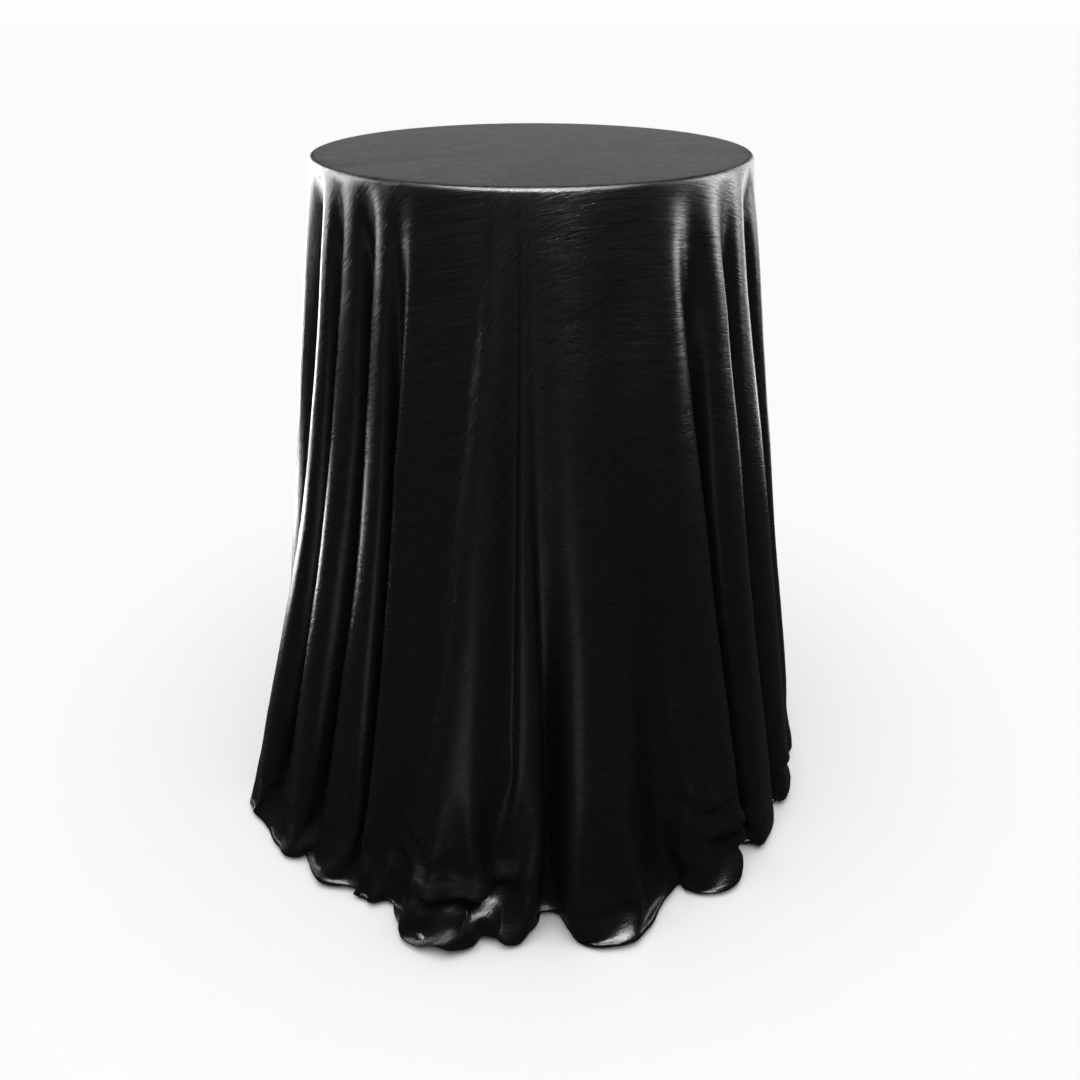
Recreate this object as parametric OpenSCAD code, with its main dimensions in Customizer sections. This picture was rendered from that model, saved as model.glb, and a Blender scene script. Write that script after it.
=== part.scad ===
// Bar-height pedestal table under a floor-length round tablecloth.
// Millimetres, +Z up. The origin is on the floor, under the middle of the table top.

/* [Table top] */
// Diameter of the table top, over its edge band
top_d = 610; // [500:5:920]
// Height of the table's upper face above the floor
table_h = 1067; // [720:1:1300]
// Thickness of the board
top_t = 19; // [15:1:30]
// Width of the vinyl edge band around the board
band_w = 8; // [7:0.5:15]
// Rounding of the band's upper and lower edge
edge_r = 6; // [2:0.5:7]

/* [Tablecloth] */
// Thickness of the cloth's solid
cloth_t = 1.2; // [0.8:0.1:3]
// Gap between the cloth and the table it lies on
cloth_gap = 1; // [0.6:0.1:3]
// Number of folds around the skirt
folds = 16; // [8:1:20]
// How far the folds' crests stand out from the table's edge at the floor
flare = 195; // [150:5:260]
// Depth of the folds at the floor, from crest to valley
fold_depth = 110; // [40:5:130]
// How quickly the skirt opens: 1 is a straight cone, more opens lower down
flare_power = 1.15; // [1:0.05:2]
// Radius of the bend where the cloth turns in along the floor
foot_r = 18; // [6:1:24]
// Gap between the table's edge and the edge of the cloth's turned-in part, seen from above
hem_clear = 26; // [10:1:30]
// Width of the folded hem
hem_w = 10; // [6:1:16]
// Thickness of the hem, three layers of cloth
hem_t = 3; // [1.5:0.5:5]
// Waviness of the hem line
hem_wave = 8; // [0:1:10]

/* [Top plate] */
// Length of each of the two crossed arms, end to end
arm_l = 280; // [220:5:320]
// Width of an arm
arm_w = 44; // [30:1:60]
// Thickness of the arms
arm_t = 6; // [4:1:12]
// Wall of the socket that holds the column
hub_wall = 7; // [4:1:12]
// Height of the socket below the arms
hub_h = 38; // [20:1:60]
// Thickness of the socket's closed end
hub_floor = 8; // [5:1:14]
// Distance of the outer screws from the centre
screw_outer = 122; // [95:1:130]
// Distance of the inner screws from the centre
screw_inner = 72; // [60:1:85]

/* [Column] */
// Outside diameter of the column tube
column_d = 76.2; // [60:0.1:100]
// Wall of the column tube
column_wall = 2; // [1.5:0.1:4]
// Radial clearance of the column in its sockets
socket_clear = 0.15; // [0.05:0.05:0.5]
// Diameter of the tie rod inside the column
rod_d = 10; // [8:1:12]
// Radial clearance of the rod in the cast parts and washers
rod_clear = 0.6; // [0.3:0.1:1]
// Radial clearance in a thread
thread_clear = 0.05; // [0.02:0.01:0.1]
// Width across the flats of a rod nut
nut_af = 17; // [13:1:22]
// Height of a rod nut
nut_h = 8; // [6:0.5:12]
// Diameter of a rod washer
washer_d = 30; // [22:1:36]
// Thickness of a rod washer
washer_t = 2.5; // [1.5:0.5:4]
// Length of rod that stands out of each nut
rod_proud = 2; // [1:0.5:3]

/* [Base] */
// Diameter of the round cast base
base_d = 457; // [400:1:560]
// Height of the base's outer edge
base_edge_h = 12; // [8:1:20]
// Thickness of the cast shell
base_wall = 9; // [6:1:14]
// How far the shell rises from its edge to the hub
base_rise = 20; // [10:1:40]
// Depth of the socket that holds the column's foot
base_socket = 16; // [10:1:30]
// Wall of the base's socket
base_hub_wall = 9; // [6:1:14]

/* [Levellers] */
// Distance of the levellers from the centre
leveller_circle = 190; // [160:1:205]
// Diameter of the threaded stem
stem_d = 10; // [8:1:12]
// Length of thread above the stem's collar, when fully screwed in
stem_thread = 14; // [12:1:18]
// Width across the flats of the stem's collar
collar_af = 17; // [15:1:19]
// Height of the stem's collar
collar_h = 4; // [3:0.5:6]
// Diameter of the pad
pad_d = 34; // [26:1:44]
// Height of the pad
pad_h = 7; // [6:0.5:10]
// Thickness of the pad under the end of its stem
pad_floor = 3; // [2:0.5:4]
// Radius of a boss that a leveller screws into
boss_r = 14; // [11:1:18]
// Gap that keeps moving pieces apart
move_gap = 0.3; // [0.2:0.05:0.5]

/* [Screws] */
// Diameter of a wood screw's shank
screw_d = 5; // [4:0.5:6]
// Length of a wood screw in the board
screw_grip = 12; // [10:1:14]
// Diameter of a screw's head
head_d = 10; // [8:0.5:12]
// Height of a screw's head
head_h = 3; // [2:0.5:4]

/* [Hidden] */
$fn = 64;

top_r = top_d / 2;
board_r = top_r - band_w;
top_under = table_h - top_t;

// The rod's ends: a nut and washer above the top plate, and a pair under the base
plate_z = top_under - arm_t;
hub_r = column_d / 2 + socket_clear + hub_wall;
hub_low = plate_z - hub_h;
column_top = plate_z - hub_floor;
pocket_h = washer_t + nut_h + rod_proud + 1;
pocket_r = washer_d / 2 + 1;

// The base stands on the levellers
base_z = pad_h + 2 * move_gap + collar_h;
boss_h = base_edge_h + 2;
shell_top = base_z + base_edge_h + base_rise;
base_r = base_d / 2;
base_hub_r = column_d / 2 + socket_clear + base_hub_wall;
column_low = shell_top;
shell_under = shell_top - base_wall;
rod_low = shell_under - washer_t - nut_h - rod_proud;
rod_high = top_under + washer_t + nut_h + rod_proud;

// The cloth is a wall of even thickness about a middle surface
cloth_top = table_h + cloth_gap + cloth_t / 2;
bend_r = edge_r + cloth_gap + cloth_t / 2;
skirt_top = table_h - edge_r;
skirt_low = foot_r + cloth_t / 2;
steps_round = folds * 8;
hem_r = top_r + hem_clear + hem_w + hem_wave;

// --- Tablecloth ---------------------------------------------------------------------------

// 1 on a crest and -1 in a valley, with a valley straight in front
function wave(az) = -cos(folds * (az + 90));
function crest(s) = flare * pow(s, flare_power);
function skirt_r(az, s) = top_r + cloth_gap + cloth_t / 2
    + crest(s) - fold_depth * pow(s, flare_power) * (1 - wave(az)) / 2;
function hem_edge(az) = hem_r + hem_wave * wave(az);

// The middle surface at one angle, from the centre out, over the edge, down and in again
function cloth_line(az) = let (foot = skirt_r(az, 1) - foot_r) concat(
    [for (r = [top_r / 3, top_r * 2 / 3]) [r, cloth_top]],
    [for (a = [90:-30:30]) [top_r - edge_r + bend_r * cos(a), skirt_top + bend_r * sin(a)]],
    [for (s = [0:1/10:1]) [skirt_r(az, s), skirt_top + (skirt_low - skirt_top) * s]],
    [for (a = [-30:-30:-90]) [foot + foot_r * cos(a), skirt_low + foot_r * sin(a)]],
    [[(foot + hem_edge(az)) / 2, cloth_t / 2], [hem_edge(az), cloth_t / 2]]
);

// The direction across the wall, away from the table, at point i of a line
function across(line, i) = let (
    d = line[min(i + 1, len(line) - 1)] - line[max(i - 1, 0)]
) [-d.y, d.x] / norm(d);

function wall_side(line, side) =
    [for (i = [0:len(line) - 1]) line[i] + side * cloth_t / 2 * across(line, i)];

function around(az, p) = [p.x * cos(az), p.x * sin(az), p.y];

module tablecloth() {
    lines = [for (i = [0:steps_round - 1]) cloth_line(i * 360 / steps_round)];
    n = len(lines[0]);
    outer = [for (i = [0:steps_round - 1])
        [for (p = wall_side(lines[i], 1)) around(i * 360 / steps_round, p)]];
    inner = [for (i = [0:steps_round - 1])
        [for (p = wall_side(lines[i], -1)) around(i * 360 / steps_round, p)]];
    half = steps_round * n;
    points = concat(
        [for (ring = outer) each ring], [for (ring = inner) each ring],
        [[0, 0, cloth_top + cloth_t / 2], [0, 0, cloth_top - cloth_t / 2]]
    );
    function at(i, j, side) = side * half + (i % steps_round) * n + j;
    faces = [for (i = [0:steps_round - 1]) each concat(
        [[2 * half, at(i + 1, 0, 0), at(i, 0, 0)]],
        [[2 * half + 1, at(i, 0, 1), at(i + 1, 0, 1)]],
        [for (j = [0:n - 2]) each [
            [at(i, j, 0), at(i + 1, j, 0), at(i + 1, j + 1, 0)],
            [at(i, j, 0), at(i + 1, j + 1, 0), at(i, j + 1, 0)],
            [at(i, j, 1), at(i + 1, j + 1, 1), at(i + 1, j, 1)],
            [at(i, j, 1), at(i, j + 1, 1), at(i + 1, j + 1, 1)]
        ]],
        [[at(i, n - 1, 0), at(i + 1, n - 1, 0), at(i + 1, n - 1, 1)]],
        [[at(i, n - 1, 0), at(i + 1, n - 1, 1), at(i, n - 1, 1)]]
    )];
    color("#141414") polyhedron(points, faces, convexity = 12);
}

// The folded edge, a flat strip that goes on inwards from the cloth
module hem() {
    points = [for (i = [0:steps_round - 1]) let (az = i * 360 / steps_round)
        each [for (p = [[0, 0], [0, hem_t], [-hem_w, hem_t], [-hem_w, 0]])
            around(az, [hem_edge(az) + p.x, p.y])]];
    function at(i, j) = (i % steps_round) * 4 + j % 4;
    faces = [for (i = [0:steps_round - 1]) for (j = [0:3]) each [
        [at(i, j), at(i + 1, j), at(i + 1, j + 1)],
        [at(i, j), at(i + 1, j + 1), at(i, j + 1)]
    ]];
    color("#1c1c1c") polyhedron(points, faces, convexity = 8);
}

// --- Table top ----------------------------------------------------------------------------

module screw_places() {
    for (a = [0:90:270]) for (r = [screw_inner, screw_outer])
        rotate(a) translate([r, 0, 0]) children();
}

module table_top() {
    color("burlywood") difference() {
        translate([0, 0, top_under]) cylinder(r = board_r, h = top_t, $fn = 128);
        translate([0, 0, top_under - 1]) cylinder(r = pocket_r, h = pocket_h + 1);
        screw_places() translate([0, 0, top_under - 1]) cylinder(d = screw_d, h = screw_grip + 1);
    }
}

module edge_band() {
    color("#303030") translate([0, 0, top_under]) rotate_extrude($fn = 128)
        translate([board_r, 0]) intersection() {
            square([band_w, top_t]);
            union() {
                for (y = [edge_r, top_t - edge_r]) translate([band_w - edge_r, y]) circle(edge_r);
                translate([0, edge_r]) square([band_w, top_t - 2 * edge_r]);
                square([band_w - edge_r, top_t]);
            }
        }
}

module top_plate() {
    color("#3a3a3c") difference() {
        union() {
            for (a = [0, 90]) rotate(a) translate([0, 0, plate_z]) {
                translate([-(arm_l - arm_w) / 2, -arm_w / 2, 0]) cube([arm_l - arm_w, arm_w, arm_t]);
                for (x = [-1, 1]) translate([x * (arm_l - arm_w) / 2, 0, 0])
                    cylinder(d = arm_w, h = arm_t);
            }
            translate([0, 0, hub_low]) cylinder(r = hub_r, h = hub_h + arm_t);
        }
        translate([0, 0, hub_low - 1])
            cylinder(r = column_d / 2 + socket_clear, h = column_top - hub_low + 1);
        translate([0, 0, hub_low]) cylinder(r = rod_d / 2 + rod_clear, h = hub_h + arm_t + 1);
        screw_places() translate([0, 0, plate_z - 1]) cylinder(d = screw_d, h = arm_t + 2);
    }
}

module top_plate_screws() {
    color("silver") screw_places() {
        translate([0, 0, plate_z]) cylinder(d = screw_d, h = arm_t + screw_grip);
        translate([0, 0, plate_z - head_h]) cylinder(d = head_d, h = head_h);
    }
}

// --- Column -------------------------------------------------------------------------------

module column() {
    color("#202022") translate([0, 0, column_low]) difference() {
        cylinder(d = column_d, h = column_top - column_low);
        translate([0, 0, -1])
            cylinder(d = column_d - 2 * column_wall, h = column_top - column_low + 2);
    }
}

module tie_rod() {
    color("silver") translate([0, 0, rod_low]) cylinder(d = rod_d, h = rod_high - rod_low);
}

module washer(z) {
    translate([0, 0, z]) difference() {
        cylinder(d = washer_d, h = washer_t);
        translate([0, 0, -1]) cylinder(r = rod_d / 2 + rod_clear, h = washer_t + 2);
    }
}

module rod_nut(z) {
    translate([0, 0, z]) difference() {
        cylinder(d = nut_af / cos(30), h = nut_h, $fn = 6);
        translate([0, 0, -1]) cylinder(r = rod_d / 2 + thread_clear, h = nut_h + 2);
    }
}

module top_washer() { color("silver") washer(top_under); }
module top_nut() { color("gainsboro") rod_nut(top_under + washer_t); }
module base_washer() { color("silver") washer(shell_under - washer_t); }
module base_nut() { color("gainsboro") rod_nut(shell_under - washer_t - nut_h); }

// --- Base ---------------------------------------------------------------------------------

// Half of the cast shell's section, out from the rod hole
module base_section() {
    hole_r = rod_d / 2 + rod_clear;
    socket_r = column_d / 2 + socket_clear;
    polygon([
        [hole_r, shell_under], [base_hub_r, shell_under],
        [base_r - base_wall, base_z + base_edge_h - base_wall / 2], [base_r - base_wall, base_z],
        [base_r - 2, base_z], [base_r, base_z + 2],
        [base_r, base_z + base_edge_h - 3], [base_r - 3, base_z + base_edge_h],
        [base_hub_r + 8, shell_top - 2], [base_hub_r + 1, shell_top + 2],
        [base_hub_r, shell_top + 6],
        [base_hub_r, shell_top + base_socket - 2], [base_hub_r - 2, shell_top + base_socket],
        [socket_r, shell_top + base_socket], [socket_r, shell_top], [hole_r, shell_top]
    ]);
}

module at_leveller(i) {
    rotate(45 + 90 * (i - 1)) translate([leveller_circle, 0, 0]) children();
}

module base() {
    color("#262628") difference() {
        union() {
            rotate_extrude($fn = 128) base_section();
            for (i = [1:4]) at_leveller(i) translate([0, 0, base_z]) cylinder(r = boss_r, h = boss_h);
        }
        for (i = [1:4]) at_leveller(i) translate([0, 0, base_z - 1])
            cylinder(r = stem_d / 2 + thread_clear, h = stem_thread + 2);
    }
}

// --- Levellers ----------------------------------------------------------------------------

// A pad that swivels on the end of its stem
module leveller_pad(i) {
    color("#101010") at_leveller(i) rotate_extrude() polygon([
        [0, 0], [pad_d / 2 - 1, 0], [pad_d / 2, 1], [pad_d / 2, pad_h - 3],
        [pad_d / 2 - 3, pad_h], [stem_d / 2 + move_gap, pad_h],
        [stem_d / 2 + move_gap, pad_floor], [0, pad_floor]
    ]);
}

// Threaded stem with a six-sided collar for the spanner
module leveller_stem(i) {
    color("silver") at_leveller(i) {
        translate([0, 0, pad_floor + move_gap])
            cylinder(d = stem_d, h = base_z + stem_thread - pad_floor - move_gap);
        translate([0, 0, pad_h + move_gap])
            cylinder(d = collar_af / cos(30), h = collar_h, $fn = 6);
    }
}

module leveller_1_pad() { leveller_pad(1); }
module leveller_2_pad() { leveller_pad(2); }
module leveller_3_pad() { leveller_pad(3); }
module leveller_4_pad() { leveller_pad(4); }
module leveller_1_stem() { leveller_stem(1); }
module leveller_2_stem() { leveller_stem(2); }
module leveller_3_stem() { leveller_stem(3); }
module leveller_4_stem() { leveller_stem(4); }

tablecloth();
hem();
table_top();
edge_band();
top_plate();
top_plate_screws();
column();
tie_rod();
top_washer();
top_nut();
base_washer();
base_nut();
base();
leveller_1_pad();
leveller_2_pad();
leveller_3_pad();
leveller_4_pad();
leveller_1_stem();
leveller_2_stem();
leveller_3_stem();
leveller_4_stem();
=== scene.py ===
import math
import random

import bpy
import numpy as np
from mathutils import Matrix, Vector, noise


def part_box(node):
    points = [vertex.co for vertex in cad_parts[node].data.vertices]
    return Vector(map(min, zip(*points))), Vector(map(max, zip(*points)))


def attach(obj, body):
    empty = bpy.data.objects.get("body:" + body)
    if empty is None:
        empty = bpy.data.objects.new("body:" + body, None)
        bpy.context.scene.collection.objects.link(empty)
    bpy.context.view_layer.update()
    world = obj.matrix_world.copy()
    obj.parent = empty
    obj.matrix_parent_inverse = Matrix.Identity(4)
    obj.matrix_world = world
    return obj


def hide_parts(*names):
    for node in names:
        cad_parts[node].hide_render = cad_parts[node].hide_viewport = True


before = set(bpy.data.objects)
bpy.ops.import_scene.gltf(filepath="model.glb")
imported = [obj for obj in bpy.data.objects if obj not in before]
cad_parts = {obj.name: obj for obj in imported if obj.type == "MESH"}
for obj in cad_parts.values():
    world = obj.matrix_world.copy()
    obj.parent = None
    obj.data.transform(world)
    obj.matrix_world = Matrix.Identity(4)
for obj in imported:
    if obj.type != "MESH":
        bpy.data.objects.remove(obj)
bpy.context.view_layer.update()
random.seed(7)

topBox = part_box("table_top")
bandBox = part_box("edge_band")
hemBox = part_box("hem")


# The cloth: one round panel, its edge turned in along the floor
cloth = {
    "cutDiameter": 3.048,
    "thickness": 0.0006,
    "gap": 0.0010,          # from the table to the middle of the cloth
    "edgeRound": 0.006,     # the rounding of the edge band under it
    "topRings": (0.14, 0.24, 0.285),
    "bendTurns": (60, 30, 0),
    "ringsDown": 34,
    "crowding": 1.3,        # the rings lie closer together towards the floor
    "footRound": 0.032,
    "footTurn": 30,
    "footRings": 3,
    "floorGap": 0.002,
    "tuckRings": 4,
    "tuckStep": 0.025,
    "tuckRise": 0.004,
    "tuckPleat": 0.016,     # the spare cloth stands in small pleats under the skirt
    "edgeInside": 0.03,     # the cut edge lies this far inside the hem's box
}

# The side of a fold, as a strip that bends
foldShape = {
    "fullness": 0.85,       # wider crests, narrower valleys
    "shallowest": 0.02,
    "deepest": 1.55,        # how far the side of a fold may turn
    "shapes": 60,
    "steps": 72,
    "frontColumns": (6, 10),
    "backColumns": 5,
    "columnDegrees": 1.5,
}

# Where a valley sinks in and opens out, as shares of the drop
valley = {
    "sinks": 0.17,
    "spreads": 1.8,         # it widens again over the last 1 / 1.8 of the drop
    "spreadPower": 1.5,
    "comesIn": 0.3,
    "comesInLate": 0.75,    # for a valley that starts below the rim
    "slack": 0.2,           # before it starts, the cloth lies this much nearer the rim's line
}

# Slow swell of the flat panels
wave = {
    "height": 0.0035,
    "count": 17,
    "phase": 0.6,
    "comesIn": (0, 0.15),
    "goesOut": (0.45, 0.9),
}

# Each fold: the angle of its crest at the rim and at the floor, how far the crest stands out at
# the floor, and how straight it falls (1) or flares late (0). Then the valley after it: its angle
# at the rim and at the floor, its radius half way down and at the floor, and where it starts.
folds = [
    (-146, -163, 0.540, 0.5, -141, -156, 0.293, 0.502, -0.2),
    (-136, -150, 0.516, 0.4, -130, -143, 0.288, 0.470, -0.2),
    (-124, -136, 0.486, 0.5, -120, -129, 0.305, 0.440, -0.2),
    (-115, -125, 0.470, 0.6, -99, -120.5, 0.390, 0.440, 0.30),
    (-96, -107, 0.524, 0.65, -92.5, -95, 0.380, 0.455, 0.62),
    (-91.5, -91, 0.474, 0.8, -90, -86, 0.340, 0.385, 0.22),
    (-80, -75, 0.492, 0.8, -72, -58, 0.360, 0.415, 0.08),
    (-59, -46, 0.484, 0.9, -52, -38, 0.308, 0.415, -0.2),
    (-45, -31, 0.480, 0.9, -38, -23, 0.300, 0.415, -0.2),
    (-31, -16, 0.486, 0.9, -24, -8, 0.296, 0.405, -0.2),
    (-17, -1, 0.492, 0.9, -9, 6, 0.288, 0.360, -0.2),
    (-2, 13, 0.494, 0.9, 6, 20, 0.284, 0.340, -0.2),
]
frontFolds = len(folds)

# The back hangs in even folds, each a little different
back = {
    "folds": 9,
    "crest": 0.498,
    "crestVaries": 0.014,
    "straight": 0.8,
    "valleyHalf": 0.286,
    "valleyFloor": 0.325,
    "valleyVaries": 0.02,
    "start": -0.18,
    "startVaries": 0.05,
    "rimGap": 5,            # degrees from the last valley to the first crest of the front
    "floorGap": 7,
}


def addBackFolds():
    start, end = folds[-1], folds[0]
    rimSpan = end[0] - back["rimGap"] + 360 - start[4]
    floorSpan = end[1] - back["floorGap"] + 360 - start[5]
    for i in range(back["folds"]):
        share = (i + 0.5) / back["folds"], (i + 1.0) / back["folds"]
        rimAngle = [start[4] + rimSpan * t for t in share]
        floorAngle = [start[5] + floorSpan * t for t in share]
        wobble = [random.uniform(-1, 1) for k in range(4)]
        if i < back["folds"] - 1:
            rimAngle[1] += wobble[3]
            floorAngle[1] -= wobble[0]
        folds.append((
            rimAngle[0] + wobble[0],
            floorAngle[0] + 1.5 * wobble[1],
            back["crest"] + back["crestVaries"] * wobble[2],
            back["straight"],
            rimAngle[1],
            floorAngle[1],
            back["valleyHalf"],
            back["valleyFloor"] + back["valleyVaries"] * wobble[3],
            back["start"] + back["startVaries"] * wobble[1],
        ))


addBackFolds()


def smoothStep(low, high, value):
    t = np.clip((value - low) / (high - low), 0, 1)
    return t * t * (3 - 2 * t)


def meanderShape(bend):
    # one side of a fold, from valley to crest, as a curve that bends like a strip on edge
    steps = foldShape["steps"]
    t = np.linspace(0, 1, steps + 1)
    turn = bend * np.sin(math.pi * t)
    turn = turn * (1 + foldShape["fullness"] * min(bend, 1) * np.cos(math.pi * t))
    x = np.concatenate([[0], np.cumsum((np.cos(turn[1:]) + np.cos(turn[:-1])) / 2)]) / steps
    y = np.concatenate([[0], np.cumsum((np.sin(turn[1:]) + np.sin(turn[:-1])) / 2)]) / steps
    return x, y


bends = np.linspace(foldShape["shallowest"], foldShape["deepest"], foldShape["shapes"])
meanders = [meanderShape(bend) for bend in bends]
meanderSlopes = np.array([y[-1] / x[-1] for x, y in meanders])


def foldSide(width, depth, count):
    # places across (0 to 1) and out (0 to 1) for the points of one side of a fold
    x, y = meanders[int(np.argmin(abs(meanderSlopes - depth / max(width, 1e-6))))]
    at = np.linspace(0, 1, count + 1) * (len(x) - 1)
    across = np.interp(at, np.arange(len(x)), x) / x[-1]
    out = np.interp(at, np.arange(len(y)), y) / y[-1]
    return across, out


def crestRadius(fold, s, rim):
    straight = fold[3]
    return rim + (fold[2] - rim) * (straight * s + (1 - straight) * s * s)


def valleyRadius(fold, flat, s, rim):
    half, floor, start = fold[6:]
    early = min(s / valley["sinks"], 1)
    late = max(valley["spreads"] * s - (valley["spreads"] - 1), 0) ** valley["spreadPower"]
    deep = rim + (half - rim) * early * (2 - early) + (floor - half) * late
    span = valley["comesIn"] if start < 0 else valley["comesInLate"]
    return flat + (deep - flat) * smoothStep(start, start + span, s)


def sideCount(width, i):
    if i >= frontFolds:
        return foldShape["backColumns"]
    return int(np.clip(round(width / foldShape["columnDegrees"]), *foldShape["frontColumns"]))


def skirtRing(s, rim):
    # the cloth's section at depth s, 0 at the rim and 1 at the floor: angles and radii
    angles, radii = [], []
    fade = smoothStep(*wave["comesIn"], s) * (1 - smoothStep(*wave["goesOut"], s))
    for i, fold in enumerate(folds):
        before, after = folds[i - 1], folds[(i + 1) % len(folds)]
        turnBefore = 360 if i == 0 else 0
        crest = crestRadius(fold, s, rim)
        crestAngle = fold[0] + (fold[1] - fold[0]) * s
        sides = (before, turnBefore, before), (fold, 0, after)
        for side, (this, turn, other) in enumerate(sides):
            angle = this[4] + (this[5] - this[4]) * s - turn
            flat = (crest + crestRadius(other, s, rim)) / 2
            radius = valleyRadius(this, flat - valley["slack"] * (flat - rim), s, rim)
            width = math.radians(abs(crestAngle - angle)) * (crest + radius) / 2
            count = sideCount(abs(fold[1] - this[5] + turn), i)
            across, out = foldSide(width, max(crest - radius, 0), count)
            a = angle + (crestAngle - angle) * across
            r = radius + (crest - radius) * out
            r = r + wave["height"] * fade * np.sin(np.radians(a) * wave["count"] + wave["phase"])
            if side == 1:
                a, r = a[::-1], r[::-1]
            angles.append(a[:-1])
            radii.append(r[:-1])
    return np.radians(np.concatenate(angles)), np.concatenate(radii)


def clothRings():
    # rings of points from the top out to the cut edge, with the radius of each in the flat cloth
    rimRadius = bandBox[1][0] + cloth["gap"]
    bend = cloth["edgeRound"] + cloth["gap"]
    topZ = topBox[1][2] + cloth["gap"]
    bendZ = topBox[1][2] - cloth["edgeRound"]
    rimAngles, _ = skirtRing(0.0, rimRadius)
    columns = len(rimAngles)
    rings, flatRadii = [], []
    for r in (*cloth["topRings"], rimRadius - bend):
        rings.append((rimAngles, np.full(columns, r), np.full(columns, topZ)))
        flatRadii.append(r)
    for a in cloth["bendTurns"]:
        turn = math.radians(a)
        rings.append((rimAngles, np.full(columns, rimRadius - bend + bend * math.cos(turn)),
                      np.full(columns, bendZ + bend * math.sin(turn))))
        flatRadii.append(rimRadius - bend + bend * (math.pi / 2 - turn))
    pinnedRings = len(rings)

    # the skirt starts low by the spare length, which the floor then pushes up
    down = 1 - (1 - np.linspace(0, 1, cloth["ringsDown"] + 1)[1:]) ** cloth["crowding"]
    foot = cloth["footRound"]
    spare = settle["spare"]
    for s in down:
        angles, radii = skirtRing(s, rimRadius)
        rings.append((angles, radii, np.full(columns, bendZ + (foot - spare - bendZ) * s)))
        flatRadii.append(flatRadii[pinnedRings - 1] + s * (bendZ - foot))

    # the foot rolls under, a crest fully and a valley hardly at all
    footRing = rings[-1]
    footAngles, footRadii, _ = footRing
    lean = np.clip((footRadii - 0.30) / 0.1, 0.25, 1)
    for i in range(1, cloth["footRings"] + 1):
        turn = math.radians(-cloth["footTurn"] * i)
        rings.append((footAngles, footRadii - foot * lean * (1 - math.cos(turn)),
                      foot - spare + foot * math.sin(turn) + cloth["floorGap"]))
        flatRadii.append(flatRadii[-1] + foot * math.radians(cloth["footTurn"]))

    # the turned-in part, pleated more and more towards the cut edge
    inner = hemBox[1][0] - cloth["edgeInside"]
    startRadii = rings[-1][1]
    for i in range(1, cloth["tuckRings"] + 1):
        t = i / cloth["tuckRings"]
        radii = startRadii + (inner - startRadii) * t
        pleats = cloth["tuckPleat"] * t * (np.arange(columns) % 2)
        heights = cloth["floorGap"] - spare + cloth["tuckRise"] * t + pleats
        rings.append((footAngles, radii, heights))
        flatRadii.append(flatRadii[-1] + cloth["tuckStep"])
    return rings, flatRadii, pinnedRings, footRing


def anglesWhenFlat(footRing):
    # each column of the flat cloth is as wide as the arc it takes at the floor
    angles, radii, _ = footRing
    x, y = radii * np.cos(angles), radii * np.sin(angles)
    step = np.hypot(np.roll(x, -1) - x, np.roll(y, -1) - y)
    along = np.concatenate([[0], np.cumsum(step)])
    return angles[0] + along / along[-1] * 2 * math.pi


def meshObject(name, verts, faces):
    mesh = bpy.data.meshes.new(name)
    mesh.from_pydata([tuple(float(c) for c in v) for v in verts], [], faces)
    piece = bpy.data.objects.new(name, mesh)
    bpy.context.scene.collection.objects.link(piece)
    return piece


def shadeSmooth(piece):
    for p in piece.data.polygons:
        p.use_smooth = True


def buildCloth():
    rings, flatRadii, pinnedRings, footRing = clothRings()
    flatAngles = anglesWhenFlat(footRing)
    columns = len(footRing[0])
    verts = [(0.0, 0.0, rings[0][2][0])]
    for angles, radii, heights in rings:
        heights = np.broadcast_to(heights, angles.shape)
        verts += list(zip(radii * np.cos(angles), radii * np.sin(angles), heights))
    scale = cloth["cutDiameter"] / 2 / flatRadii[-1]

    def flatPlace(ring, column):
        r = 0 if ring < 0 else flatRadii[ring] * scale
        a = flatAngles[column]
        across = r * math.cos(a) / cloth["cutDiameter"]
        along = r * math.sin(a) / cloth["cutDiameter"]
        return (0.5 + across, 0.5 + along)

    faces, corners = [], []
    for j in range(columns):
        k = (j + 1) % columns
        faces.append((0, 1 + j, 1 + k))
        corners.append((flatPlace(-1, j), flatPlace(0, j), flatPlace(0, j + 1)))
    for i in range(len(rings) - 1):
        low, high = 1 + i * columns, 1 + (i + 1) * columns
        for j in range(columns):
            k = (j + 1) % columns
            faces.append((low + j, high + j, high + k, low + k))
            corners.append((flatPlace(i, j), flatPlace(i + 1, j),
                            flatPlace(i + 1, j + 1), flatPlace(i, j + 1)))
    piece = meshObject("cloth_panel", verts, faces)
    layer = piece.data.uv_layers.new(name="flatCut")
    layer.data.foreach_set("uv", [c for face in corners for corner in face for c in corner])
    print("cloth:", len(verts), "points,", len(rings), "rings of", columns)
    return piece, 1 + pinnedRings * columns, columns


def onlySelect(*objects):
    bpy.ops.object.select_all(action="DESELECT")
    for o in objects:
        o.select_set(True)
    bpy.context.view_layer.objects.active = objects[0]


# A floor rises under the hanging cloth and pushes its spare length up into the foot
settle = {
    "frames": 36,
    "spare": 0.032,
    "rise": 22,             # frames in which the floor comes up
    "floorSize": 3,
    "clear": 0.004,         # the floor starts this far under the cloth
    "contact": 0.002,
    "friction": 12,
    "quality": 6,
    "mass": 0.12,
    "stretch": 22,
    "shear": 8,
    "bending": 0.6,
    "damping": 12,
    "hold": 0.7,            # the skirt keeps its folds higher up
    "free": 0.16,           # and is free below this height
    "freeSpan": 0.25,
}


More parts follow.
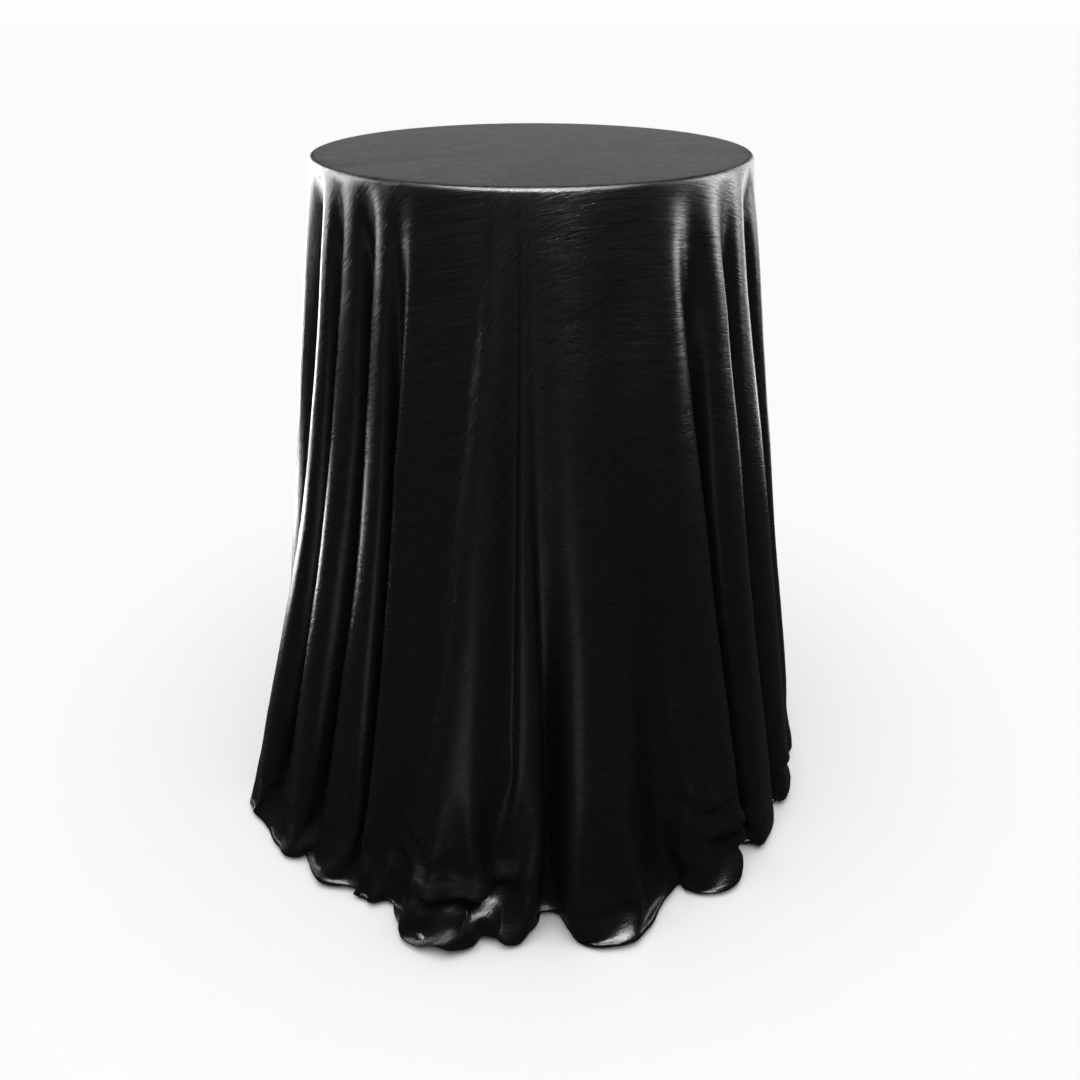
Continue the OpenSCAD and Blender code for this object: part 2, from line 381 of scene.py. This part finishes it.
def settlingFloor():
    bpy.ops.mesh.primitive_plane_add(size=settle["floorSize"],
                                     location=(0, 0, -settle["spare"] - settle["clear"]))
    lift = bpy.context.object
    lift.name = "settling_floor"
    lift.keyframe_insert("location", frame=1)
    lift.location.z = 0
    lift.keyframe_insert("location", frame=settle["rise"])
    onlySelect(lift)
    bpy.ops.object.modifier_add(type="COLLISION")
    lift.collision.thickness_outer = settle["contact"]
    lift.collision.cloth_friction = settle["friction"]
    return lift


def holdFolds(piece, pinned):
    group = piece.vertex_groups.new(name="held")
    freeTop = settle["free"] + settle["freeSpan"]
    for v in piece.data.vertices:
        hold = 1.0
        if v.index >= pinned:
            hold = settle["hold"] * smoothStep(settle["free"], freeTop, v.co.z)
        group.add([v.index], float(hold), "REPLACE")
    return group.name


def settleCloth(piece, pinned):
    lift = settlingFloor()
    held = holdFolds(piece, pinned)
    onlySelect(piece)
    bpy.ops.object.modifier_add(type="CLOTH")
    modifier = piece.modifiers[-1]
    fabric, collide = modifier.settings, modifier.collision_settings
    fabric.quality = settle["quality"]
    fabric.mass = settle["mass"]
    fabric.tension_stiffness = fabric.compression_stiffness = settle["stretch"]
    fabric.shear_stiffness = settle["shear"]
    fabric.bending_stiffness = settle["bending"]
    fabric.tension_damping = fabric.compression_damping = settle["damping"]
    fabric.vertex_group_mass = held
    collide.distance_min = settle["contact"]
    collide.use_self_collision = False
    scene = bpy.context.scene
    for number in range(1, settle["frames"] + 1):
        scene.frame_set(number)
    onlySelect(piece)
    bpy.ops.object.modifier_apply(modifier=modifier.name)
    bpy.data.objects.remove(lift, do_unlink=True)
    scene.frame_set(1)
    print("cloth settled over", settle["frames"], "frames")


panel, pinnedPoints, edgePoints = buildCloth()
settleCloth(panel, pinnedPoints)
shadeSmooth(panel)
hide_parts("tablecloth")
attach(panel, "cloth")


# The hem: the cut edge folded over and stitched, following the settled edge of the panel
hemSizes = {
    "width": 0.010,
    "thickness": 0.0026,
    "parts": 3,             # steps of the band along one column of the panel
    "smoothings": 2,
    "stitchPitch": 0.0042,
    "stitchLength": 0.0028,
    "stitchWidth": 0.0007,
    "stitchOut": 0.0028,    # from the middle of the band
    "stitchSunk": 0.0002,
}


def edgeCurve(piece, count):
    # the last ring of the panel as a smooth closed curve, with its outward direction
    ring = np.array([v.co[:] for v in piece.data.vertices[len(piece.data.vertices) - count:]])
    ring[:, 2] = np.maximum(ring[:, 2], hemSizes["thickness"] * 0.6)
    for i in range(hemSizes["smoothings"]):
        ring = (np.roll(ring, 1, axis=0) + 2 * ring + np.roll(ring, -1, axis=0)) / 4
    before, after = np.roll(ring, 1, axis=0), np.roll(ring, -1, axis=0)
    beyond = np.roll(ring, -2, axis=0)
    slope = after - before
    second = 2 * before - 5 * ring + 4 * after - beyond
    third = 3 * ring - before - 3 * after + beyond
    curve = []
    for i in range(hemSizes["parts"]):
        t = i / hemSizes["parts"]
        curve.append(0.5 * (2 * ring + slope * t + second * t ** 2 + third * t ** 3))
    curve = np.stack(curve, axis=1).reshape(-1, 3)
    outward = curve * (1, 1, 0)
    return curve, outward / np.linalg.norm(outward, axis=1)[:, None]


def buildHem(curve, outward):
    # a flat band with rounded edges, swept along the curve
    half, thick = hemSizes["width"] / 2, hemSizes["thickness"] / 2
    profile = [
        (-half, 0), (-half + thick * 0.5, thick * 0.9), (-half * 0.5, thick),
        (0, thick * 0.8), (half * 0.5, thick), (half - thick * 0.5, thick * 0.9),
        (half, 0), (half - thick * 0.5, -thick * 0.9), (0, -thick),
        (-half + thick * 0.5, -thick * 0.9),
    ]
    verts, faces = [], []
    for place, out in zip(curve, outward):
        verts += [place + out * a + (0, 0, b) for a, b in profile]
    sides = len(profile)
    for i in range(len(curve)):
        here, there = i * sides, (i + 1) % len(curve) * sides
        for j in range(sides):
            k = (j + 1) % sides
            faces.append((there + j, there + k, here + k, here + j))
    band = meshObject("hem_band", verts, faces)
    shadeSmooth(band)
    return band


def stitchPoints(ends, out, side):
    # one stitch: a thin spindle with its ends drawn into the band
    wide, high = hemSizes["stitchWidth"] / 2, hemSizes["stitchWidth"] * 0.6
    lift = side * (hemSizes["thickness"] / 2 - hemSizes["stitchSunk"])
    first, middle, last = [end + (0, 0, lift) + out * hemSizes["stitchOut"] for end in ends]
    return [first, middle + out * wide, middle + (0, 0, side * high), middle - out * wide,
            middle - (0, 0, side * high * 0.5), last]


def buildStitches(curve, outward):
    step = np.linalg.norm(np.roll(curve, -1, axis=0) - curve, axis=1)
    along = np.concatenate([[0], np.cumsum(step)])
    closed = np.vstack([curve, curve[:1]])
    closedOut = np.vstack([outward, outward[:1]])

    def placeAt(at, line):
        return np.array([np.interp(at, along, line[:, k]) for k in range(3)])

    count = int(along[-1] / hemSizes["stitchPitch"])
    verts, faces = [], []
    for i in range(count):
        middle = (i + 0.5) * along[-1] / count
        shifts = [t * hemSizes["stitchLength"] for t in (-0.5, 0, 0.5)]
        ends = [placeAt(middle + shift, closed) for shift in shifts]
        out = placeAt(middle, closedOut)
        out = out / np.linalg.norm(out)
        for side in (1, -1):  # above and below the band
            base = len(verts)
            verts += stitchPoints(ends, out, side)
            for j in range(4):
                a, b = base + 1 + j, base + 1 + (j + 1) % 4
                if side < 0:
                    a, b = b, a
                faces += [(base, a, b), (base + 5, b, a)]
    print("hem:", count, "stitches")
    return meshObject("hem_stitches", verts, faces)


curve, outward = edgeCurve(panel, edgePoints)
hem = buildHem(curve, outward)
stitches = buildStitches(curve, outward)
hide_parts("hem")
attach(hem, "cloth")
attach(stitches, "cloth")


# Small creases: the angle and height of each, how far it runs round and up, and its depth
creases = [
    (-105, 0.090, 10, 0.018, 0.030),
    (-112, 0.150, 5, 0.014, 0.008),
    (-50, 0.165, 4, 0.016, 0.018),
    (-46, 0.095, 5, 0.015, 0.020),
    (-41, 0.060, 5, 0.014, 0.014),
    (-39, 0.430, 4, 0.010, 0.006),
    (-152, 0.075, 6, 0.014, 0.009),
    (-75, 0.060, 7, 0.012, 0.006),
    (-20, 0.090, 5, 0.013, 0.009),
    (40, 0.080, 7, 0.015, 0.010),
    (95, 0.110, 7, 0.015, 0.010),
    (150, 0.070, 7, 0.014, 0.010),
]
ripple = {
    "broad": 0.0012,
    "broadScale": 11,
    "fine": 0.0004,
    "fineScale": 46,
    "upright": 0.5,         # ripples run longer up and down than across
    "creaseSag": 0.01,      # a crease hangs lower in its middle
    "creaseSwell": 1.6,
    "ends": 1.04,           # no ripples above this height
    "fade": 0.12,
    "inner": 0.27,          # nor inside this radius
}


def addWrinkles(piece):
    points = [v.co.copy() for v in piece.data.vertices]
    normals = [v.normal.copy() for v in piece.data.vertices]
    for v, place, normal in zip(piece.data.vertices, points, normals):
        r = math.hypot(place.x, place.y)
        if place.z > ripple["ends"] or r < ripple["inner"]:
            continue
        fade = float(smoothStep(0, ripple["fade"], ripple["ends"] - place.z))
        stretched = Vector((place.x, place.y, place.z * ripple["upright"]))
        out = ripple["broad"] * noise.noise(stretched * ripple["broadScale"])
        out += ripple["fine"] * noise.noise(stretched * ripple["fineScale"])
        angle = math.degrees(math.atan2(place.y, place.x))
        for at, height, wide, tall, depth in creases:
            across = (angle - at) / wide
            up = (place.z - height - ripple["creaseSag"] * across * across) / tall
            if abs(across) < 2 and abs(up) < 3:
                out += depth * ripple["creaseSwell"] * up * math.exp(-up * up - across * across)
        v.co = place + normal * out * fade


def finishCloth(piece):
    onlySelect(piece)
    smooth = piece.modifiers.new("smooth", "SUBSURF")
    smooth.levels = smooth.render_levels = 1
    bpy.ops.object.modifier_apply(modifier="smooth")
    addWrinkles(piece)
    wall = piece.modifiers.new("wall", "SOLIDIFY")
    wall.thickness = cloth["thickness"]
    wall.offset = 0
    bpy.ops.object.modifier_apply(modifier="wall")
    print("cloth finished:", len(piece.data.polygons), "faces")


finishCloth(panel)


# Parts that the materials share
def newMaterial(name):
    material = bpy.data.materials.new(name)
    material.use_nodes = True
    nodes = material.node_tree.nodes
    nodes.clear()
    out = nodes.new("ShaderNodeOutputMaterial")
    shader = nodes.new("ShaderNodeBsdfPrincipled")
    material.node_tree.links.new(shader.outputs["BSDF"], out.inputs["Surface"])
    return material, nodes, material.node_tree.links, shader


def stretchedNoise(nodes, links, place, scale, detail):
    # noise drawn out by its three scales
    stretch = nodes.new("ShaderNodeMapping")
    stretch.inputs["Scale"].default_value = scale
    links.new(place, stretch.inputs["Vector"])
    pattern = nodes.new("ShaderNodeTexNoise")
    pattern.inputs["Scale"].default_value = 1
    pattern.inputs["Detail"].default_value = detail
    links.new(stretch.outputs["Vector"], pattern.inputs["Vector"])
    return pattern


def patternNodes(nodes, links, scale, detail):
    place = nodes.new("ShaderNodeTexCoord")
    return stretchedNoise(nodes, links, place.outputs["Object"], scale, detail).outputs["Fac"]


def ramp(nodes, links, value, stops):
    colours = nodes.new("ShaderNodeValToRGB")
    while len(colours.color_ramp.elements) < len(stops):
        colours.color_ramp.elements.new(0.5)
    for element, (place, colour) in zip(colours.color_ramp.elements, stops):
        element.position = place
        element.color = (*colour, 1)
    links.new(value, colours.inputs["Fac"])
    return colours.outputs["Color"]


def spread(nodes, links, value, low, high):
    shade = nodes.new("ShaderNodeMapRange")
    shade.inputs["To Min"].default_value = low
    shade.inputs["To Max"].default_value = high
    links.new(value, shade.inputs["Value"])
    return shade.outputs["Result"]


def bumpNode(nodes, links, value, strength, distance):
    bump = nodes.new("ShaderNodeBump")
    bump.inputs["Strength"].default_value = strength
    bump.inputs["Distance"].default_value = distance
    links.new(value, bump.inputs["Height"])
    return bump


def addBump(nodes, links, shader, value, strength, distance):
    bump = bumpNode(nodes, links, value, strength, distance)
    links.new(bump.outputs["Normal"], shader.inputs["Normal"])


satin = {
    "colour": (0.004, 0.004, 0.0042, 1),
    "roughness": 0.29,
    "roughnessVaries": 0.12,
    "specular": 0.30,
    "broadSlub": (110, 1100, 1),
    "fineSlub": (260, 2600, 1),
    "fineShare": 0.4,
    "slubBump": (0.55, 0.0012),
    "swell": (7, 34, 1),
    "swellBump": (0.7, 0.003),
}


def satinMaterial():
    material, nodes, links, shader = newMaterial("black_satin")
    uv = nodes.new("ShaderNodeUVMap")
    uv.uv_map = "flatCut"

    def slub(scale, detail):
        # uneven yarn, drawn out along the weft
        pattern = stretchedNoise(nodes, links, uv.outputs["UV"], scale, detail)
        pattern.inputs["Roughness"].default_value = 0.6
        pattern.inputs["Distortion"].default_value = 0.4
        return pattern.outputs["Fac"]

    broad, fine = slub(satin["broadSlub"], 4), slub(satin["fineSlub"], 2)
    mix = nodes.new("ShaderNodeMix")
    mix.inputs["Factor"].default_value = satin["fineShare"]
    links.new(broad, mix.inputs["A"])
    links.new(fine, mix.inputs["B"])
    bump = bumpNode(nodes, links, mix.outputs["Result"], *satin["slubBump"])
    swell = bumpNode(nodes, links, slub(satin["swell"], 3), *satin["swellBump"])
    links.new(swell.outputs["Normal"], bump.inputs["Normal"])
    links.new(bump.outputs["Normal"], shader.inputs["Normal"])
    low = satin["roughness"] - satin["roughnessVaries"]
    high = satin["roughness"] + satin["roughnessVaries"]
    links.new(spread(nodes, links, broad, low, high), shader.inputs["Roughness"])
    shader.inputs["Base Color"].default_value = satin["colour"]
    shader.inputs["Specular IOR Level"].default_value = satin["specular"]
    return material


panel.data.materials.append(satinMaterial())


# The table under the cloth: its pieces keep their shapes and get their finishes here
finishes = {
    "powder": {
        "dark": (0.010, 0.010, 0.011), "light": (0.022, 0.022, 0.024),
        "rough": (0.42, 0.62),
    },
    "tube": {
        "dark": (0.008, 0.008, 0.009), "light": (0.016, 0.016, 0.017),
        "grain": 520, "rough": (0.30, 0.42),
    },
    "vinyl": {
        "dark": (0.012, 0.012, 0.012), "light": (0.030, 0.030, 0.031),
        "grain": 1400, "rough": (0.45, 0.60),
    },
    "rubber": {
        "dark": (0.012, 0.012, 0.012), "light": (0.035, 0.034, 0.033),
        "grain": 700, "rough": (0.75, 0.92),
    },
}


def coatMaterial(name, finish, bump=0.0004):
    # paint, vinyl or rubber: a fine grain over broad uneven patches
    material, nodes, links, shader = newMaterial(name)
    grain = patternNodes(nodes, links, (finish["grain"],) * 3, 2)
    patches = patternNodes(nodes, links, (14, 14, 9), 6)
    stops = [(0.35, finish["dark"]), (0.7, finish["light"])]
    links.new(ramp(nodes, links, patches, stops), shader.inputs["Base Color"])
    links.new(spread(nodes, links, patches, *finish["rough"]), shader.inputs["Roughness"])
    addBump(nodes, links, shader, grain, 0.5, bump)
    return material


def castMaterial():
    # sand casting under powder coat, rubbed thin on the high places
    material, nodes, links, shader = newMaterial("cast_iron_coat")
    finish = finishes["powder"]
    sand = patternNodes(nodes, links, (160, 160, 160), 8)
    patches = patternNodes(nodes, links, (9, 9, 9), 5)
    worn = (0.06, 0.055, 0.05)
    stops = [(0.30, finish["dark"]), (0.62, finish["light"]), (0.80, worn)]
    links.new(ramp(nodes, links, sand, stops), shader.inputs["Base Color"])
    links.new(spread(nodes, links, patches, *finish["rough"]), shader.inputs["Roughness"])
    addBump(nodes, links, shader, sand, 0.7, 0.0012)
    return material


def zincMaterial():
    # bright zinc plate: turned marks and faint clouding
    material, nodes, links, shader = newMaterial("zinc_plate")
    marks = patternNodes(nodes, links, (60, 60, 4200), 2)
    cloud = patternNodes(nodes, links, (55, 55, 55), 5)
    stops = [(0.3, (0.42, 0.43, 0.45)), (0.55, (0.60, 0.60, 0.60)), (0.75, (0.66, 0.63, 0.56))]
    links.new(ramp(nodes, links, cloud, stops), shader.inputs["Base Color"])
    links.new(spread(nodes, links, marks, 0.22, 0.42), shader.inputs["Roughness"])
    addBump(nodes, links, shader, marks, 0.3, 0.0002)
    shader.inputs["Metallic"].default_value = 1.0
    return material


def plywoodMaterial():
    # birch face grain along X; the plies show as bands where the board is cut
    material, nodes, links, shader = newMaterial("birch_plywood")
    figure = patternNodes(nodes, links, (2.2, 26, 60), 6)
    pores = patternNodes(nodes, links, (40, 900, 900), 3)
    woods = [(0.25, (0.42, 0.28, 0.15)), (0.5, (0.60, 0.44, 0.27)), (0.75, (0.70, 0.55, 0.37))]
    wood = ramp(nodes, links, figure, woods)
    dark = ramp(nodes, links, pores, [(0.30, (0.55, 0.50, 0.45)), (0.45, (1, 1, 1))])
    grain = nodes.new("ShaderNodeMix")
    grain.data_type = "RGBA"
    grain.blend_type = "MULTIPLY"
    grain.inputs["Factor"].default_value = 0.7
    links.new(wood, grain.inputs["A"])
    links.new(dark, grain.inputs["B"])
    links.new(grain.outputs["Result"], shader.inputs["Base Color"])
    links.new(spread(nodes, links, figure, 0.45, 0.65), shader.inputs["Roughness"])
    addBump(nodes, links, shader, pores, 0.4, 0.0004)
    return material


def threadMaterial():
    # hem cloth and thread: the same satin, seen close, with a twill rib
    material, nodes, links, shader = newMaterial("hem_satin")
    place = nodes.new("ShaderNodeTexCoord")
    rib = nodes.new("ShaderNodeTexWave")
    rib.inputs["Scale"].default_value = 420
    rib.inputs["Distortion"].default_value = 1.5
    links.new(place.outputs["Object"], rib.inputs["Vector"])
    soft = patternNodes(nodes, links, (90, 90, 90), 4)
    stops = [(0.3, (0.009, 0.009, 0.009)), (0.7, (0.018, 0.018, 0.019))]
    links.new(ramp(nodes, links, soft, stops), shader.inputs["Base Color"])
    links.new(spread(nodes, links, soft, 0.34, 0.5), shader.inputs["Roughness"])
    addBump(nodes, links, shader, rib.outputs["Fac"], 0.5, 0.0003)
    return material


def dress(names, material):
    for name in names:
        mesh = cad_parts[name].data
        mesh.materials.clear()
        mesh.materials.append(material)


levellers = ["leveller_%d_" % i for i in (1, 2, 3, 4)]
fasteners = ["top_plate_screws", "tie_rod", "top_washer", "top_nut", "base_washer", "base_nut"]
dress(["table_top"], plywoodMaterial())
dress(["edge_band"], coatMaterial("edge_vinyl", finishes["vinyl"]))
dress(["top_plate", "base"], castMaterial())
dress(["column"], coatMaterial("column_paint", finishes["tube"]))
dress(fasteners + [n + "stem" for n in levellers], zincMaterial())
dress([n + "pad" for n in levellers], coatMaterial("pad_rubber", finishes["rubber"], bump=0.0008))
edgeMaterial = threadMaterial()
hem.data.materials.append(edgeMaterial)
stitches.data.materials.append(edgeMaterial)
print("table: materials on", len(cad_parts) - 2, "pieces")


# Studio
studio = {
    "floor": (0.80, 0.80, 0.80, 1),
    "floorRoughness": 0.9,
    "backdrop": (0.98, 0.98, 0.98, 1),
    "sky": 0.045,           # what the cloth's gloss sees where there is no light
    "sun": 3.7,
    "sunTilt": 8,
    "sunAngle": 70,
    "frontCard": 1.2,
    "highCards": 15.0,      # bright cards beside the table top, left and right
    "backCards": 11.0,
    "lowCard": 16.0,
    "rightSide": 0.35,      # the right side is dimmer low down
    "back": 5,
    "rim": 420,
    "front": 290.0,
}


def softbox(name, place, aim, size, power):
    bpy.ops.object.light_add(type="AREA", location=place)
    light = bpy.context.object
    light.name = name
    light.data.shape = "RECTANGLE"
    light.data.size, light.data.size_y = size
    light.data.energy = power
    light.rotation_euler = (Vector(aim) - Vector(place)).to_track_quat("-Z", "Y").to_euler()
    light.visible_camera = False
    light.visible_diffuse = False


def reflector(name, place, turn, size, strength):
    # a bright card that shows only in the cloth's gloss
    bpy.ops.mesh.primitive_plane_add(size=1, location=place, rotation=turn)
    card = bpy.context.object
    card.name = name
    card.scale = (size[0], size[1], 1)
    material = bpy.data.materials.new(name)
    material.use_nodes = True
    nodes = material.node_tree.nodes
    nodes.clear()
    glow = nodes.new("ShaderNodeEmission")
    glow.inputs["Strength"].default_value = strength
    out = nodes.new("ShaderNodeOutputMaterial")
    material.node_tree.links.new(glow.outputs["Emission"], out.inputs["Surface"])
    card.data.materials.append(material)
    card.visible_camera = False
    card.visible_diffuse = False
    card.visible_shadow = False


def addFloor():
    bpy.ops.mesh.primitive_plane_add(size=80, location=(0, 0, 0))
    floor = bpy.context.object
    floor.name = "studio_floor"
    material, nodes, links, shader = newMaterial("pale_floor")
    shader.inputs["Base Color"].default_value = studio["floor"]
    shader.inputs["Roughness"].default_value = studio["floorRoughness"]
    shader.inputs["Specular IOR Level"].default_value = 0.0
    floor.data.materials.append(material)
    floor.visible_glossy = False


def addWorld():
    # white behind the object, nearly dark for everything that lights it
    world = bpy.data.worlds.new("studio")
    bpy.context.scene.world = world
    world.use_nodes = True
    nodes, links = world.node_tree.nodes, world.node_tree.links
    backdrop = nodes["Background"]
    backdrop.inputs["Color"].default_value = studio["backdrop"]
    room = nodes.new("ShaderNodeBackground")
    room.inputs["Strength"].default_value = studio["sky"]
    seen = nodes.new("ShaderNodeLightPath")
    mix = nodes.new("ShaderNodeMixShader")
    links.new(seen.outputs["Is Camera Ray"], mix.inputs["Fac"])
    links.new(room.outputs["Background"], mix.inputs[1])
    links.new(backdrop.outputs["Background"], mix.inputs[2])
    links.new(mix.outputs["Shader"], nodes["World Output"].inputs["Surface"])


def addLights():
    # each softbox: its place, what it aims at, its size
    softbox("back_softbox", (0, 4.0, 1.9), (0, 0, 1.0), (2.6, 0.8), studio["back"])
    softbox("rim_softbox", (0, -0.7, 3.5), (0, 0, 1.0), (2.8, 2.4), studio["rim"])
    softbox("front_softbox", (0, -1.9, 3.2), (0, 0, 0.6), (2.0, 0.9), studio["front"])
    level, upright = (0, 0, 0), math.radians(90)
    reflector("front_card", (-0.3, -1.7, 0.01), level, (0.4, 1.6), studio["frontCard"])
    for side, name in ((-1, "left"), (1, "right")):
        dim = 1 if side < 0 else studio["rightSide"]
        reflector(name + "_high_card", (side * 1.6, 0.28, 1.55), (0, upright, 0),
                  (1.3, 0.7), studio["highCards"])
        reflector(name + "_back_card", (side * 1.35, 1.45, 1.0), (0, upright, side * 0.8),
                  (1.9, 0.7), studio["backCards"] * dim)
    reflector("left_low_card", (-1.45, 0.8, 0.01), level, (0.6, 0.7), studio["lowCard"])
    bpy.ops.object.light_add(type="SUN", location=(0, 0, 5),
                             rotation=(math.radians(studio["sunTilt"]), 0, 0))
    sun = bpy.context.object
    sun.data.energy = studio["sun"]
    sun.data.angle = math.radians(studio["sunAngle"])
    sun.visible_glossy = False


addFloor()
addWorld()
addLights()
print("studio: floor, softboxes, cards and sun")

view = {
    "lens": 33.33,
    "sensor": 36,
    "place": (0.0121, -1.482, 1.267),
    "lookDown": 29.01,      # degrees below level
}


def addCamera():
    data = bpy.data.cameras.new("camera")
    data.lens = view["lens"]
    data.sensor_width = view["sensor"]
    camera = bpy.data.objects.new("camera", data)
    bpy.context.scene.collection.objects.link(camera)
    camera.location = view["place"]
    camera.rotation_euler = (math.radians(90 - view["lookDown"]), 0, 0)
    bpy.context.scene.camera = camera
    bpy.context.scene.view_settings.view_transform = "Standard"


addCamera()
